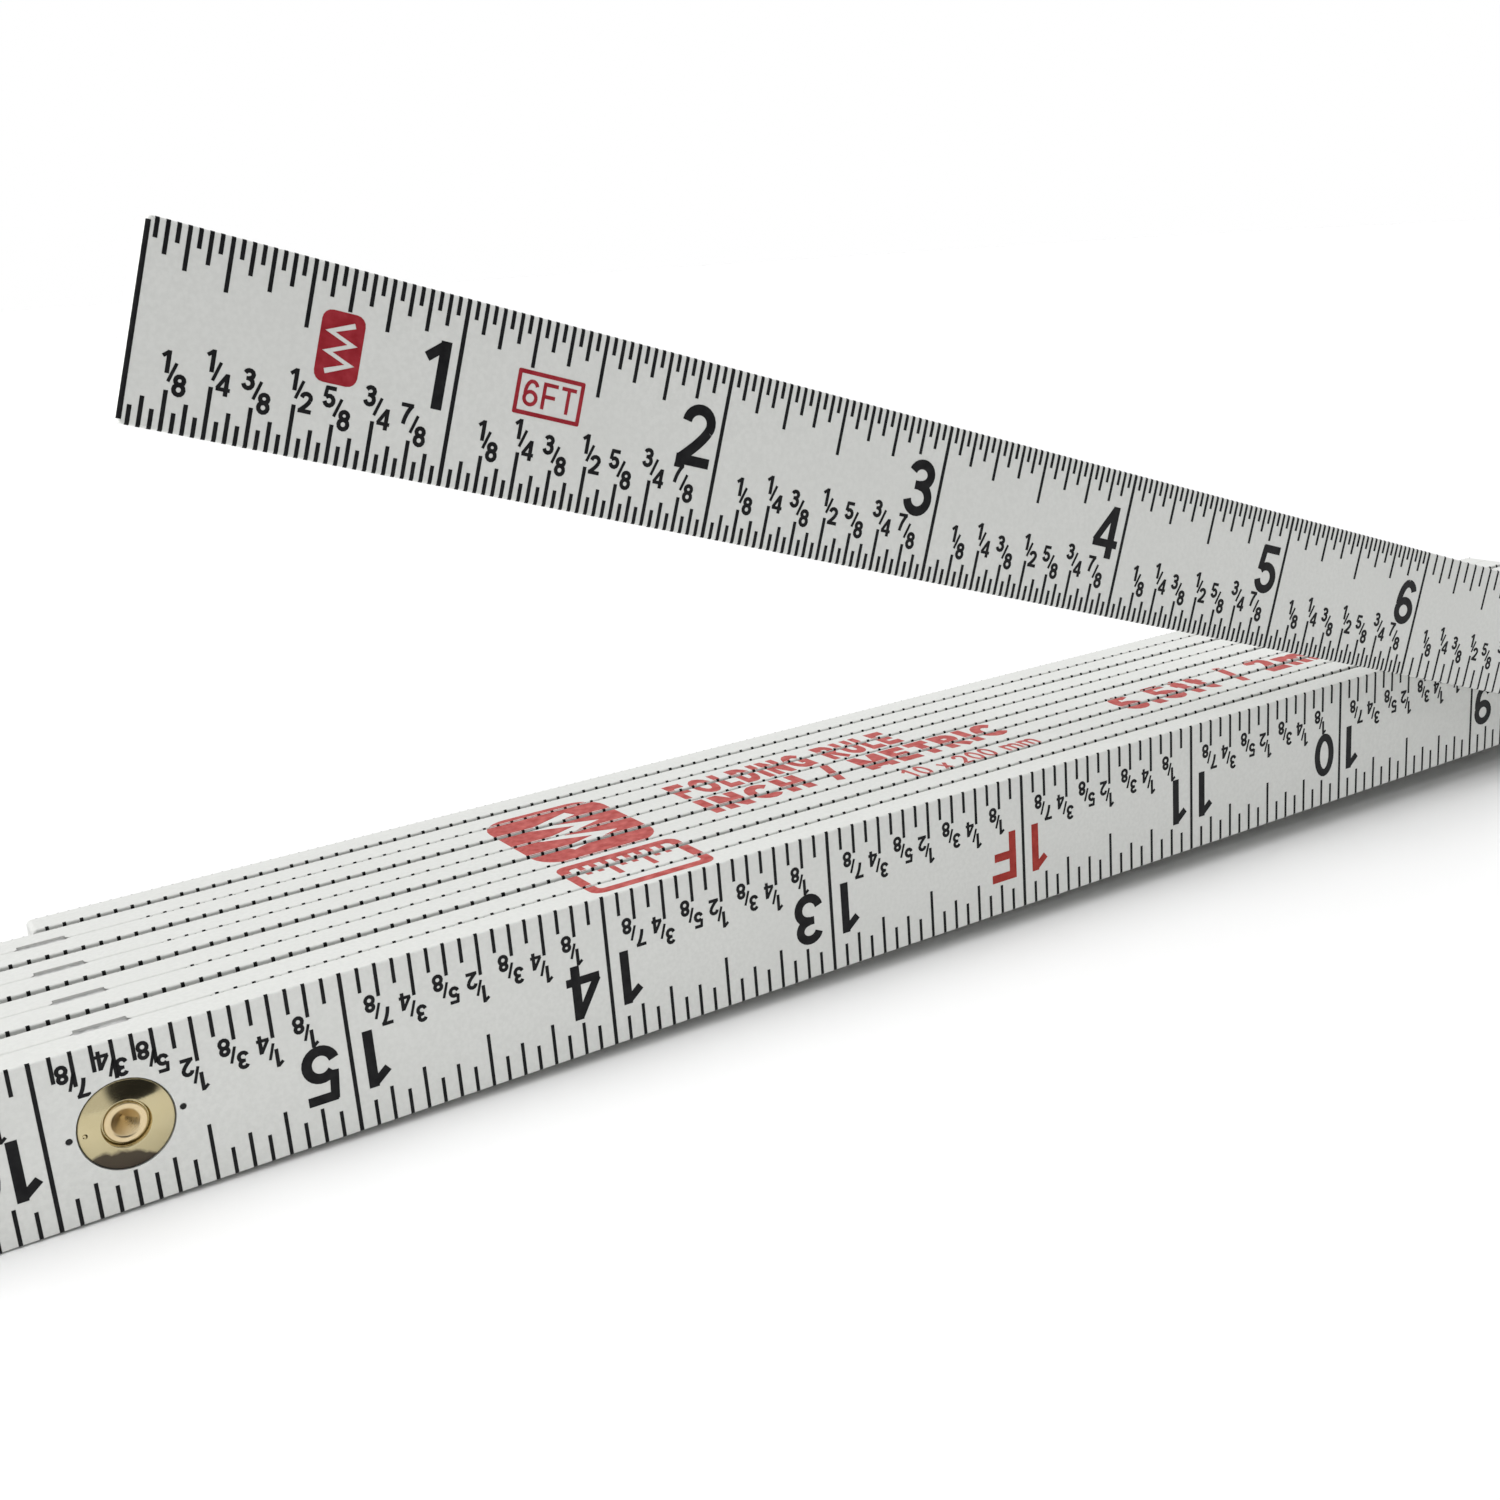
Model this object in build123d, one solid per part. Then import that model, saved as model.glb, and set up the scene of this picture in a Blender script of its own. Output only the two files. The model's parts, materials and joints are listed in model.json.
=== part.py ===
from build123d import *
import math
import os

# A ten-link folding rule, 2 m long when open. It stands on its long edges, folded,
# with the first link lifted a little from the stack. +X runs along the folded rule,
# from the measuring ends to the first rivet. +Y runs from the first link to the
# last one. Lengths are in millimetres and angles in degrees.

# Driving dimensions of a link
link_count = 10
pivot_spacing = 200.0
link_width = 15.0
link_thickness = 3.3
end_overhang = 17.5
joint_end_radius = 1.0
measuring_end_radius = 0.5
edge_radius = 0.2

# How the links lie
joint_gap = 0.1
free_gap = 0.95
raised_angle = 18.28

# Rivet
shank_radius = 1.3
shank_clearance = 0.05
head_radius = 1.8
head_thickness = 0.25
head_rounding = 0.2
pit_radius = 1.22
pit_depth = 1.6
pit_rounding = 0.3
rivet_end_play = 0.03

# Cap under each rivet head
cap_radius = 3.9
cap_thickness = 0.35
cap_below_face = 0.05
cap_fit = 0.08
dish_depth = 0.5
dish_rim_radius = 2.05
dish_floor_radius = 1.88
rim_rounding = 0.1
punch_offset = 3.3
punch_radius = 0.25
punch_depth = 0.12

# Spring plates between the links
plate_radius = 7.7
plate_fit = 0.1
plate_edge_setback = 0.2
front_plate_thickness = 0.35
rear_plate_thickness = 0.6
rear_plate_below_face = 0.05
prong_radius = 0.25
prong_fit = 0.04
prong_offset = 4.55
detent_ring_radius = 6.0
bump_base_radius = 0.8
bump_height = 0.3
track_half_width = 0.9
track_depth = 0.3
pocket_extra_depth = 0.15
pocket_count = 4
slab_length = 4 * plate_radius

# Values that follow from them
splay = math.degrees(math.asin((free_gap - joint_gap) / (2 * pivot_spacing)))
pivot_span = pivot_spacing * math.cos(math.radians(splay))
mid_pitch = link_thickness + joint_gap + pivot_spacing * math.sin(math.radians(splay))
half_width = link_width / 2
half_thickness = link_thickness / 2
bore_radius = shank_radius + shank_clearance
cap_floor = cap_below_face + cap_thickness
dish_floor = cap_below_face + dish_depth
dish_underside = dish_floor + cap_thickness
dish_outer_radius = dish_rim_radius + cap_thickness
bump_sphere_radius = (bump_base_radius**2 + bump_height**2) / (2 * bump_height)
rear_plate_recess = rear_plate_thickness + rear_plate_below_face
joint_depth = 2 * link_thickness + joint_gap


def turned(profile_points):
    """Solid of revolution about the Y axis from (radius, depth) points."""
    outline = make_face(Polyline(*profile_points, close=True))
    return revolve(outline, axis=Axis.Y)


def disc(radius, start_depth, end_depth):
    """Plain disc on the Y axis between two depths."""
    return turned([(0, start_depth), (radius, start_depth), (radius, end_depth), (0, end_depth)])


def edges_on_circle(solid, radius, depth):
    """Circular edges of a turned solid at one radius and depth."""
    on_depth = solid.edges().filter_by(GeomType.CIRCLE).filter_by_position(Axis.Y, depth, depth)
    return [edge for edge in on_depth if math.isclose(edge.radius, radius, abs_tol=1e-6)]


def slab_across_width(start_depth, end_depth):
    """Block that keeps a plate inside the two long edges of its link."""
    size = end_depth - start_depth
    reach = 2 * (half_width - plate_edge_setback)
    return Pos(0, start_depth + size / 2, 0) * Box(slab_length, size, reach)


# Joint pieces. Depth 0 is the outer face of the front link at the rivet, and depth
# grows towards the rear link. Rear pieces are the same ones seen in a mirror.


def cap():
    """Thin brass disc with a sunk middle, let into the outer face of a link."""
    body = turned(
        [
            (bore_radius, dish_floor),
            (dish_floor_radius, dish_floor),
            (dish_rim_radius, cap_below_face),
            (cap_radius, cap_below_face),
            (cap_radius, cap_floor),
            (dish_outer_radius, cap_floor),
            (dish_outer_radius, dish_underside),
            (bore_radius, dish_underside),
        ]
    )
    rims = edges_on_circle(body, cap_radius, cap_below_face)
    rims += edges_on_circle(body, dish_rim_radius, cap_below_face)
    body = fillet(rims, rim_rounding)
    punch_centre = cap_below_face + punch_depth - punch_radius
    return body - Pos(-punch_offset, punch_centre, 0) * Sphere(punch_radius)


def rivet():
    """Shank through both links, with a flat ring head and a conical pit at each end."""
    ring_front = dish_floor - head_thickness
    pit_front = ring_front + pit_depth
    ring_rear = joint_depth - ring_front
    pit_rear = joint_depth - pit_front
    under_rear_head = joint_depth - dish_floor + rivet_end_play
    body = turned(
        [
            (0, pit_front),
            (pit_radius, ring_front),
            (head_radius, ring_front),
            (head_radius, dish_floor),
            (shank_radius, dish_floor),
            (shank_radius, under_rear_head),
            (head_radius, under_rear_head),
            (head_radius, ring_rear),
            (pit_radius, ring_rear),
            (0, pit_rear),
        ]
    )
    for radius, rounding in ((head_radius, head_rounding), (pit_radius, pit_rounding)):
        edges = edges_on_circle(body, radius, ring_front)
        edges += edges_on_circle(body, radius, ring_rear)
        body = fillet(edges, rounding)
    return body


def plate_blank(thickness, below_face):
    """Round steel plate with two flats and two prongs that run through the link."""
    outer = link_thickness - below_face
    inner = outer - thickness
    plate = disc(plate_radius, inner, outer) & slab_across_width(inner, outer)
    for side in (-1, 1):
        plate += Pos(side * prong_offset, 0, 0) * disc(prong_radius, 0, outer)
    return plate - disc(bore_radius, inner, outer)


def front_plate():
    """Spring plate with two pressed bumps that ride in the rear plate's track."""
    plate = plate_blank(front_plate_thickness, 0)
    face = link_thickness
    top_half = slab_across_width(face - front_plate_thickness / 2, face + bump_height)
    for side in (-1, 1):
        ball = Pos(0, face + bump_height - bump_sphere_radius, side * detent_ring_radius)
        plate += (ball * Sphere(bump_sphere_radius)) & top_half
    return plate


def rear_plate():
    """Stop plate with a round track and a deeper pocket at each quarter turn."""
    plate = plate_blank(rear_plate_thickness, rear_plate_below_face)
    face = link_thickness - rear_plate_below_face
    floor = face - track_depth
    track = disc(detent_ring_radius + track_half_width, floor, face)
    track -= disc(detent_ring_radius - track_half_width, floor, face)
    plate -= track
    for quarter in range(pocket_count):
        turn = math.radians(quarter * 360 / pocket_count)
        ball = Pos(
            detent_ring_radius * math.cos(turn),
            floor - pocket_extra_depth + bump_sphere_radius,
            detent_ring_radius * math.sin(turn),
        )
        plate -= ball * Sphere(bump_sphere_radius)
    return plate


def joint_cut(plate_recess):
    """Everything that one joint takes out of the link that it runs through."""
    cut = disc(cap_radius + cap_fit, 0, cap_floor)
    cut += disc(dish_outer_radius + cap_fit, 0, dish_underside)
    cut += disc(bore_radius, 0, link_thickness)
    cut += disc(plate_radius + plate_fit, link_thickness - plate_recess, link_thickness)
    for side in (-1, 1):
        cut += Pos(side * prong_offset, 0, 0) * disc(prong_radius + prong_fit, 0, link_thickness)
    return cut


def on_front_link(piece):
    """Depth measured from the front face of the front link."""
    return Pos(0, -half_thickness, 0) * piece


def on_rear_link(piece):
    """Depth measured from the back face of the rear link, towards its front face."""
    return mirror(on_front_link(piece), about=Plane.XZ)


# Where the joints are. Odd joints are at the +X ends of their links, even ones at
# the -X ends. In a link's own frame its two rivets are at x = 0 and pivot_spacing.


def joint_x(joint):
    """Place of a joint along either of its two links."""
    return pivot_spacing if joint % 2 else 0.0


def link(number):
    """One link, with its recesses for the joint behind it and the joint before it."""
    has_rear_joint = number < link_count
    has_front_joint = number > 1
    has_measuring_end = not (has_rear_joint and has_front_joint)
    start = 0.0 if has_measuring_end else -end_overhang
    end = pivot_spacing + end_overhang
    outline = Rectangle(end - start, link_width)
    end_groups = outline.vertices().group_by(Axis.X)
    start_radius = measuring_end_radius if has_measuring_end else joint_end_radius
    outline = fillet(end_groups[0], start_radius)
    outline = fillet(outline.vertices().group_by(Axis.X)[-1], joint_end_radius)
    outline = Plane.XZ * Pos((start + end) / 2, 0) * outline
    bar = extrude(outline, amount=half_thickness, both=True)
    faces_by_depth = bar.faces().sort_by(Axis.Y)
    bar = fillet(faces_by_depth[0].edges() + faces_by_depth[-1].edges(), edge_radius)
    if has_rear_joint:
        bar -= Pos(joint_x(number), 0, 0) * on_front_link(joint_cut(front_plate_thickness))
    if has_front_joint:
        bar -= Pos(joint_x(number - 1), 0, 0) * on_rear_link(joint_cut(rear_plate_recess))
    return bar


# Where the links are


def lean(number):
    """Neighbours lean opposite ways about Z, so each pair is close only at its rivet."""
    return splay if number % 2 else -splay


def stack_place(number):
    """Place of a link in the folded stack. The +X rivets are on the line x = z = 0."""
    middle = Pos(-pivot_span / 2, (number - (link_count + 1) / 2) * mid_pitch, 0)
    return middle * Rot(0, 0, lean(number)) * Pos(-pivot_spacing / 2, 0, 0)


def standing_tilt():
    """Tilt of the stack when the first link's lifted end reaches below it."""
    reach = end_overhang - joint_end_radius
    drop = half_width - joint_end_radius
    turn = math.radians(raised_angle)
    low_x = reach * math.cos(turn) - drop * math.sin(turn)
    low_z = -reach * math.sin(turn) - drop * math.cos(turn)
    return math.degrees(math.atan2(-drop - low_z, low_x + pivot_span + reach))


def place(number):
    """Place of a link as it stands, before the origin is moved under it."""
    standing = Rot(0, -standing_tilt(), 0)
    if number == 1:
        standing = standing * Rot(0, raised_angle, 0)
    return standing * stack_place(number)


def joint_centre(joint):
    """Middle of a rivet, between its two links, before the origin is moved."""
    x = 0.0 if joint % 2 else -pivot_span
    y = (joint - link_count / 2) * mid_pitch
    return Rot(0, -standing_tilt(), 0) * Pos(x, y, 0)


def build():
    """All pieces by node name, standing before the origin is moved."""
    front_pieces = {"front_cap": cap(), "front_plate": front_plate(), "rivet": rivet()}
    rear_pieces = {"rear_cap": cap(), "rear_plate": rear_plate()}
    nodes = {}
    for number in range(1, link_count + 1):
        nodes[f"link_{number:02d}"] = place(number) * link(number)
    for joint in range(1, link_count):
        along = Pos(joint_x(joint), 0, 0)
        for name, piece in front_pieces.items():
            nodes[f"{name}_{joint:02d}"] = place(joint) * along * on_front_link(piece)
        for name, piece in rear_pieces.items():
            nodes[f"{name}_{joint:02d}"] = place(joint + 1) * along * on_rear_link(piece)
    return nodes


pieces = build()
whole = Compound(list(pieces.values())).bounding_box()
to_origin = Pos(-whole.center().X, 0, -whole.min.Z)

os.makedirs("parts", exist_ok=True)
for node, piece in pieces.items():
    export_step(to_origin * piece, f"parts/{node}.step")
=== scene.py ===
import json
import math

import bpy
from mathutils import Matrix, Vector
from mathutils.geometry import delaunay_2d_cdt

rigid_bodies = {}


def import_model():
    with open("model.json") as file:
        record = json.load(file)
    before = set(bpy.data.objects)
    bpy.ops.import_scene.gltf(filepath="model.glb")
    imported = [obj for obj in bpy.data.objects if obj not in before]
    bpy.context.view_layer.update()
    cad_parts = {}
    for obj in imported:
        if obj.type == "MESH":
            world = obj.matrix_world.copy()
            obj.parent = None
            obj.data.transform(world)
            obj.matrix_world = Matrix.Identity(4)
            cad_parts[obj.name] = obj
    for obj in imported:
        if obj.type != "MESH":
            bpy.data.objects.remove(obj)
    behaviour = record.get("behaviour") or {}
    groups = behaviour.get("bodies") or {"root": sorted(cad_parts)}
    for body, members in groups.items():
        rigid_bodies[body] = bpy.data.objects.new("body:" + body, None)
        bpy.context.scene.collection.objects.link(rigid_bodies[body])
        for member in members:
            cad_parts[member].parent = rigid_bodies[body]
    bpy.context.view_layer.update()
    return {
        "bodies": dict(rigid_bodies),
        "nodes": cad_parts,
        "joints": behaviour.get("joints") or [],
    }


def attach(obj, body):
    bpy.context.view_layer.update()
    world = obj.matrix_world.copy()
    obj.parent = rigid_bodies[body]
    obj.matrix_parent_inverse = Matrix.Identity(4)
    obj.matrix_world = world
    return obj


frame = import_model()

# A folding rule of ten white links. This script prints the scales on the links, gives
# every piece its material, and sets the floor, the lights and the camera. The packed
# model is in metres. The printed shapes are drawn in millimetres.

MM = 0.001
INCH = 25.4
LINK_COUNT = len(frame["bodies"])
PIVOT_SPACING = 200.0

# Rounding of the links' long edges, as the bars are made
EDGE_RADIUS = 0.2

# Ink: how far it stands off its face and reaches into it, the corners of a bar's cross
# section as (side, level), and the turns at which a bar follows a rounded edge
INK_RISE = 0.02
INK_SINK = 0.01
BAR_CORNERS = ((-1, INK_RISE), (1, INK_RISE), (1, -INK_SINK), (-1, -INK_SINK))
WRAP_ANGLES = (35, 70)

# Letters: widths and gaps are in units of the letter's height
DIGIT_WIDTH = 0.63
TRACKING = 0.13

# Inch scale: bar lengths from the edge of the link, by fraction of an inch. The 32nds
# stop after FINE_INCHES.
BAR_WIDTH = 0.33
INCH_LINE_WIDTH = 0.37
ZERO_LINE_WIDTH = 0.36
ZERO_LINE_SHORT = 0.35
PLAIN_EDGE_BARS = {2: 5.2, 4: 4.1, 8: 3.3, 16: 2.5, 32: 1.5}
FRACTION_EDGE_BARS = {2: 3.95, 4: 3.95, 8: 3.05, 16: 2.3, 32: 1.5}
FINE_INCHES = 6

# Inch numbers: a single digit stands left of its line, two digits stand on both sides
# of it. A 1 is narrow, so it has its own places.
NUMERAL_HEIGHT = 5.4
NUMERAL_BASE = -1.6
NUMERAL_WEIGHT = 0.172
NUMERAL_GAP = 0.75
SPLIT_NUMERAL_GAP = 1.05
DIGIT_PITCH = 0.72
ONE_ALONE = 0.55
ONE_LEFT = 0.5
ONE_RIGHT = 0.85
ONE_GAP = -0.45
ONE_PITCH = 4.0
CAP_ROOM = 0.2

# Fractions: heights are from the link's edge, places along it are from the fraction's
# bar. NARROW_ONE moves a 1 right, in units of the digit's height. A fraction reaches
# FRACTION_REACH to either side of its bar, and its digits' tops FRACTION_SHOULDER.
FRACTION_WEIGHT = 0.2
FRACTION_DIGIT = 1.66
EIGHTH_BASE = 2.7
QUARTER_BASE = 3.45
LOWEST_BASE = 0.65
NUMERATOR_RISE = 1.56
LEAST_RISE = 0.6
NUMERATOR_END = 0.02
NARROW_ONE = 0.12
DENOMINATOR_START = 0.36
SLASH = ((0.04, 0.98), (0.5, 2.4))
SLASH_WIDTH = 0.25
FRACTION_REACH = 2.0
FRACTION_SHOULDER = 0.8
FRACTION_MARGIN = 1.4

# Metric scale: bar lengths by step in millimetres
CM_BARS = {10: 4.6, 5: 3.4, 1: 2.2}
CM_BAR_WIDTH = 0.2
CM_NUMERAL_HEIGHT = 3.6
CM_NUMERAL_BASE = -1.8

# Clear room round the caps and the plates
CAP_CLEAR = 4.15
PLATE_CLEAR = 8.1


# Frames of the links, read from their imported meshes


def flat_normals(mesh):
    """Normals of a bar's flat faces, the largest faces first."""
    areas = {}
    for polygon in mesh.polygons:
        key = tuple(round(value, 3) for value in polygon.normal)
        total = areas.get(key, Vector())
        areas[key] = total + polygon.normal * polygon.area
    return [total.normalized() for total in sorted(areas.values(), key=lambda v: -v.length)]


def extent(points, direction):
    """Lowest and highest value of the points along a direction."""
    values = [point.dot(direction) for point in points]
    return min(values), max(values)


class Link:
    """A link's own frame: x from its -X rivet to its +X rivet, y through it, z across."""

    def __init__(self, number):
        self.number = number
        self.name = f"link_{number:02d}"
        mesh = frame["nodes"][self.name].data
        points = [vertex.co for vertex in mesh.vertices]
        normals = flat_normals(mesh)
        through = next(n for n in normals if n.y > 0.9)
        across = next(n for n in normals if n.z > 0.9)
        along = through.cross(across)
        front, back = extent(points, through)
        low, high = extent(points, across)
        start, self.end = extent(points, along)
        self.length = (self.end - start) / MM
        self.thickness = (back - front) / MM
        self.width = (high - low) / MM
        self.axes = (along, through, across)
        self.middle = ((front + back) / 2, (low + high) / 2)

    def place(self, overhang):
        """World matrix of the link's frame, in metres."""
        along, through, across = self.axes
        first_rivet = self.end - (PIVOT_SPACING + overhang) * MM
        origin = along * first_rivet + through * self.middle[0] + across * self.middle[1]
        turn = Matrix((along, through, across)).transposed().to_4x4()
        return Matrix.Translation(origin) @ turn


links = [Link(number) for number in range(1, LINK_COUNT + 1)]
whole_link = links[LINK_COUNT // 2]
OVERHANG = (whole_link.length - PIVOT_SPACING) / 2
HALF_WIDTH = whole_link.width / 2
HALF_THICKNESS = whole_link.thickness / 2


def face_matrix(number, side):
    """From print coordinates (along the reading, up, off the face) to the link's frame."""
    flip = 1 if number % 2 else -1
    start = 0 if number % 2 else PIVOT_SPACING * MM
    out = -1 if side == "front" else 1
    depth = out * HALF_THICKNESS * MM
    return Matrix(((flip, 0, 0, start), (0, 0, out, depth), (0, -out * flip, 0, 0), (0, 0, 0, 1)))


# Flat shapes: strokes made of quads, joined into one clean triangulation


def oval(cx, cy, rx, ry, start, end, per_quarter):
    """Points on an ellipse, between two angles in degrees."""
    steps = max(2, round(abs(end - start) / 90 * per_quarter))
    turns = [math.radians(start + (end - start) * i / steps) for i in range(steps + 1)]
    return [(cx + rx * math.cos(turn), cy + ry * math.sin(turn)) for turn in turns]


def bow(start, bend, end, steps):
    """Points on a quadratic curve."""
    points = []
    for step in range(steps + 1):
        t = step / steps
        a, b, c = (1 - t) ** 2, 2 * t * (1 - t), t * t
        points.append(tuple(a * start[i] + b * bend[i] + c * end[i] for i in (0, 1)))
    return points


def stroke(points, weight):
    """Quads along a line of points, with square ends and mitred corners."""
    closed = math.dist(points[0], points[-1]) < 1e-6
    if closed:
        points = points[:-1]
    count = len(points)
    sides = []
    for i, point in enumerate(points):
        before = points[i - 1] if closed or i else point
        after = points[(i + 1) % count] if closed or i < count - 1 else point
        steps = [Vector(point) - Vector(before), Vector(after) - Vector(point)]
        steps = [step.normalized() for step in steps if step.length > 0]
        middle = sum(steps, Vector((0, 0))).normalized()
        normal = Vector((-middle.y, middle.x))
        reach = weight / 2 / max(0.5, middle.dot(steps[0]))
        sides.append((Vector(point) + normal * reach, Vector(point) - normal * reach))
    pairs = list(zip(sides, sides[1:] + sides[:1] if closed else sides[1:]))
    return [[a[1], b[1], b[0], a[0]] for a, b in pairs]


def box_outline(x0, y0, x1, y1, radius=0.0, per_quarter=4):
    """Outline of an upright rectangle with round corners."""
    if not radius:
        return [(x0, y0), (x1, y0), (x1, y1), (x0, y1)]
    corners = ((x1, y0, 270), (x1, y1, 0), (x0, y1, 90), (x0, y0, 180))
    outline = []
    for x, y, turn in corners:
        cx = x - radius if x == x1 else x + radius
        cy = y - radius if y == y1 else y + radius
        outline += oval(cx, cy, radius, radius, turn, turn + 90, per_quarter)
    return outline


def flat_shape(polygons, cuts=()):
    """Triangles of the joined polygons, less the cuts."""
    points, faces, owners = [], [], []
    for owner, group in enumerate((polygons, cuts)):
        for polygon in group:
            faces.append(list(range(len(points), len(points) + len(polygon))))
            points += [Vector(p) for p in polygon]
            owners.append(owner)
    found = delaunay_2d_cdt(points, [], faces, 1, 1e-6)
    vertices, triangles, origins = found[0], found[2], found[5]
    kept = []
    for triangle, origin in zip(triangles, origins):
        inside = {owners[i] for i in origin}
        if 0 in inside and 1 not in inside:
            kept.append(list(triangle))
    used = sorted({i for triangle in kept for i in triangle})
    place = {old: new for new, old in enumerate(used)}
    return [tuple(vertices[i]) for i in used], [[place[i] for i in triangle] for triangle in kept]


# Letters and digits, one unit high


def glyph_strokes(weight, quarter):
    """Strokes of each character, with its width: {character: (width, [polygons])}."""
    half = weight / 2
    wide = DIGIT_WIDTH
    mid = wide / 2
    top, low = 1 - half, half
    rx = mid - half
    waist = 0.54
    upper = (mid, (top + waist) / 2, (top - waist) / 2)
    lower = (mid, (waist + low) / 2, (waist - low) / 2)
    steps = 2 * quarter

    def arc(cx, cy, x_radius, y_radius, start, end):
        """A stroke along an ellipse."""
        return stroke(oval(cx, cy, x_radius, y_radius, start, end, quarter), weight)

    def line(*points, scale=1.0):
        """A straight stroke, which can be thinner than the rest."""
        return stroke(list(points), weight * scale)

    zero = arc(mid, 0.5, rx, 0.5 - half, 0, 360)
    one = line((0.42, 0), (0.42, 1)) + line((0.15, 0.725), (0.42, 0.945), scale=0.85)
    two_turn = math.radians(-30)
    two_join = (mid + rx * math.cos(two_turn), 0.695 + (top - 0.695) * math.sin(two_turn))
    two = arc(mid, 0.695, rx, top - 0.695, 178, -30)
    two += stroke(bow(two_join, (0.42, 0.40), (0.075, 0.10), steps), weight)
    two += line((0, low), (wide, low), scale=0.96)
    three = arc(*upper[:2], rx * 0.92, upper[2], 165, -90)
    three += arc(*lower[:2], rx, lower[2], 90, -170)
    three += line((mid - 0.11, waist), (mid + 0.01, waist), scale=0.9)
    four = line((0.455, 0), (0.455, 1)) + line((0, 0.285), (wide + 0.01, 0.285), scale=0.88)
    four += line((0.045, 0.30), (0.44, 0.955), scale=0.86)
    five = line((0.10, 1 - half * 0.95), (wide - 0.04, 1 - half * 0.95), scale=0.95)
    five += line((0.155, 0.97), (0.105, 0.475), scale=0.86)
    five += arc(mid - 0.005, 0.325, rx, 0.325 - low, 142, -168)
    six = arc(mid, 0.305, rx, 0.305 - low, 0, 360)
    six += arc(mid + 0.01, 0.47, rx, top - 0.47, 185, 90)
    six += arc(mid + 0.01, 0.71, rx * 0.93, top - 0.71, 92, 12)
    nine = [[(wide - x, 1 - y) for x, y in quad] for quad in six]
    seven = line((0.01, 1 - half * 0.95), (wide, 1 - half * 0.95), scale=0.95)
    seven += stroke(bow((wide - 0.06, 0.93), (0.28, 0.55), (0.215, 0), steps), weight)
    eight = arc(*upper[:2], rx * 0.88, upper[2], 0, 360) + arc(*lower[:2], rx, lower[2], 0, 360)
    upright = line((half, 0), (half, 1))
    f_bars = upright + line((0, top), (0.62, top)) + line((0, 0.48), (0.55, 0.48))
    bowl = arc(0.42, 0.5, 0.42 - half, 0.5 - half, 40, 320)

    def far_upright(width):
        """The right upright of a letter of this width."""
        return line((width - half, 0), (width - half, 1))

    d_shape = upright + line((0, top), (0.34, top)) + line((0, low), (0.34, low))
    d_shape += arc(0.32, 0.5, 0.38 - half, 0.5 - half, 90, -90)
    m_shape = upright + far_upright(0.84) + line((half, 0.95), (0.42, 0.12))
    m_shape += line((0.84 - half, 0.95), (0.42, 0.12))
    r_shape = upright + line((0, top), (0.36, top)) + line((0, 0.49), (0.36, 0.49))
    r_shape += arc(0.36, (top + 0.49) / 2, 0.30 - half, (top - 0.49) / 2, 90, -90)
    r_shape += line((0.34, 0.49), (0.61, 0))
    u_shape = line((half, 0.33), (half, 1)) + line((0.70 - half, 0.33), (0.70 - half, 1))
    u_shape += arc(0.35, 0.34, 0.35 - half, 0.34 - half, 180, 360)
    crossbar = line((0, 0.66), (0.34, 0.66), scale=0.8)
    small_f = line((0.17, 0), (0.17, 0.8)) + crossbar + arc(0.30, 0.8, 0.13, 0.2 - half, 180, 90)
    small_t = line((0.15, 0.15), (0.15, 0.92)) + crossbar
    small_t += arc(0.29, 0.19, 0.14, 0.19 - half, 180, 275)
    small_m = line((half, 0), (half, 0.72))
    for leg in (0.46, 0.92 - half):
        small_m += line((leg, 0), (leg, 0.5))
    for middle in ((half + 0.46) / 2, (1.38 - half) / 2):
        small_m += arc(middle, 0.48, (0.46 - half) / 2, 0.24 - half, 180, 0)
    digits = (zero, one, two, three, four, five, six, seven, eight, nine)
    glyphs = {str(value): (wide, shape) for value, shape in enumerate(digits)}
    glyphs |= {
        "C": (0.78, bowl),
        "D": (0.70, d_shape),
        "E": (0.62, f_bars + line((0, low), (0.62, low))),
        "F": (0.62, f_bars),
        "G": (0.80, bowl + line((0.44, 0.45), (0.80, 0.45)) + line((0.80 - half, 0.05), (0.80 - half, 0.45))),
        "H": (0.70, upright + far_upright(0.70) + line((0, 0.5), (0.70, 0.5))),
        "I": (weight, upright),
        "L": (0.55, upright + line((0, low), (0.55, low))),
        "M": (0.84, m_shape),
        "N": (0.70, upright + far_upright(0.70) + line((half, 0.95), (0.70 - half, 0.05))),
        "O": (0.82, arc(0.41, 0.5, 0.41 - half, 0.5 - half, 0, 360)),
        "R": (0.68, r_shape),
        "T": (0.62, line((0.31, 0), (0.31, 1)) + line((0, top), (0.62, top))),
        "U": (0.70, u_shape),
        "f": (0.36, small_f),
        "t": (0.36, small_t),
        "m": (0.92, small_m),
        ".": (weight * 1.1, [box_outline(0, 0, weight * 1.1, weight * 1.1)]),
        "x": (0.5, line((0.03, 0), (0.47, 0.66)) + line((0.47, 0), (0.03, 0.66))),
        "/": (0.42, line((0.05, -0.05), (0.37, 1.05), scale=0.8)),
        " ": (0.34, []),
    }
    return glyphs


FONTS = {}


def glyph(character, weight, quarter):
    """A character's width and polygons. Each weight is drawn once and kept in FONTS."""
    key = (weight, quarter)
    if key not in FONTS:
        FONTS[key] = glyph_strokes(weight, quarter)
    return FONTS[key][character]


def text_polygons(text, x, y, height, weight, quarter=5, tracking=TRACKING):
    """Polygons of a line of text that starts at x, and the x where it ends."""
    polygons = []
    for character in text:
        width, shapes = glyph(character, weight, quarter)
        for shape in shapes:
            polygons.append([(x + px * height, y + py * height) for px, py in shape])
        x += (width + tracking) * height
    return polygons, x - tracking * height


# Ink: closed thin solids on a face


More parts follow.
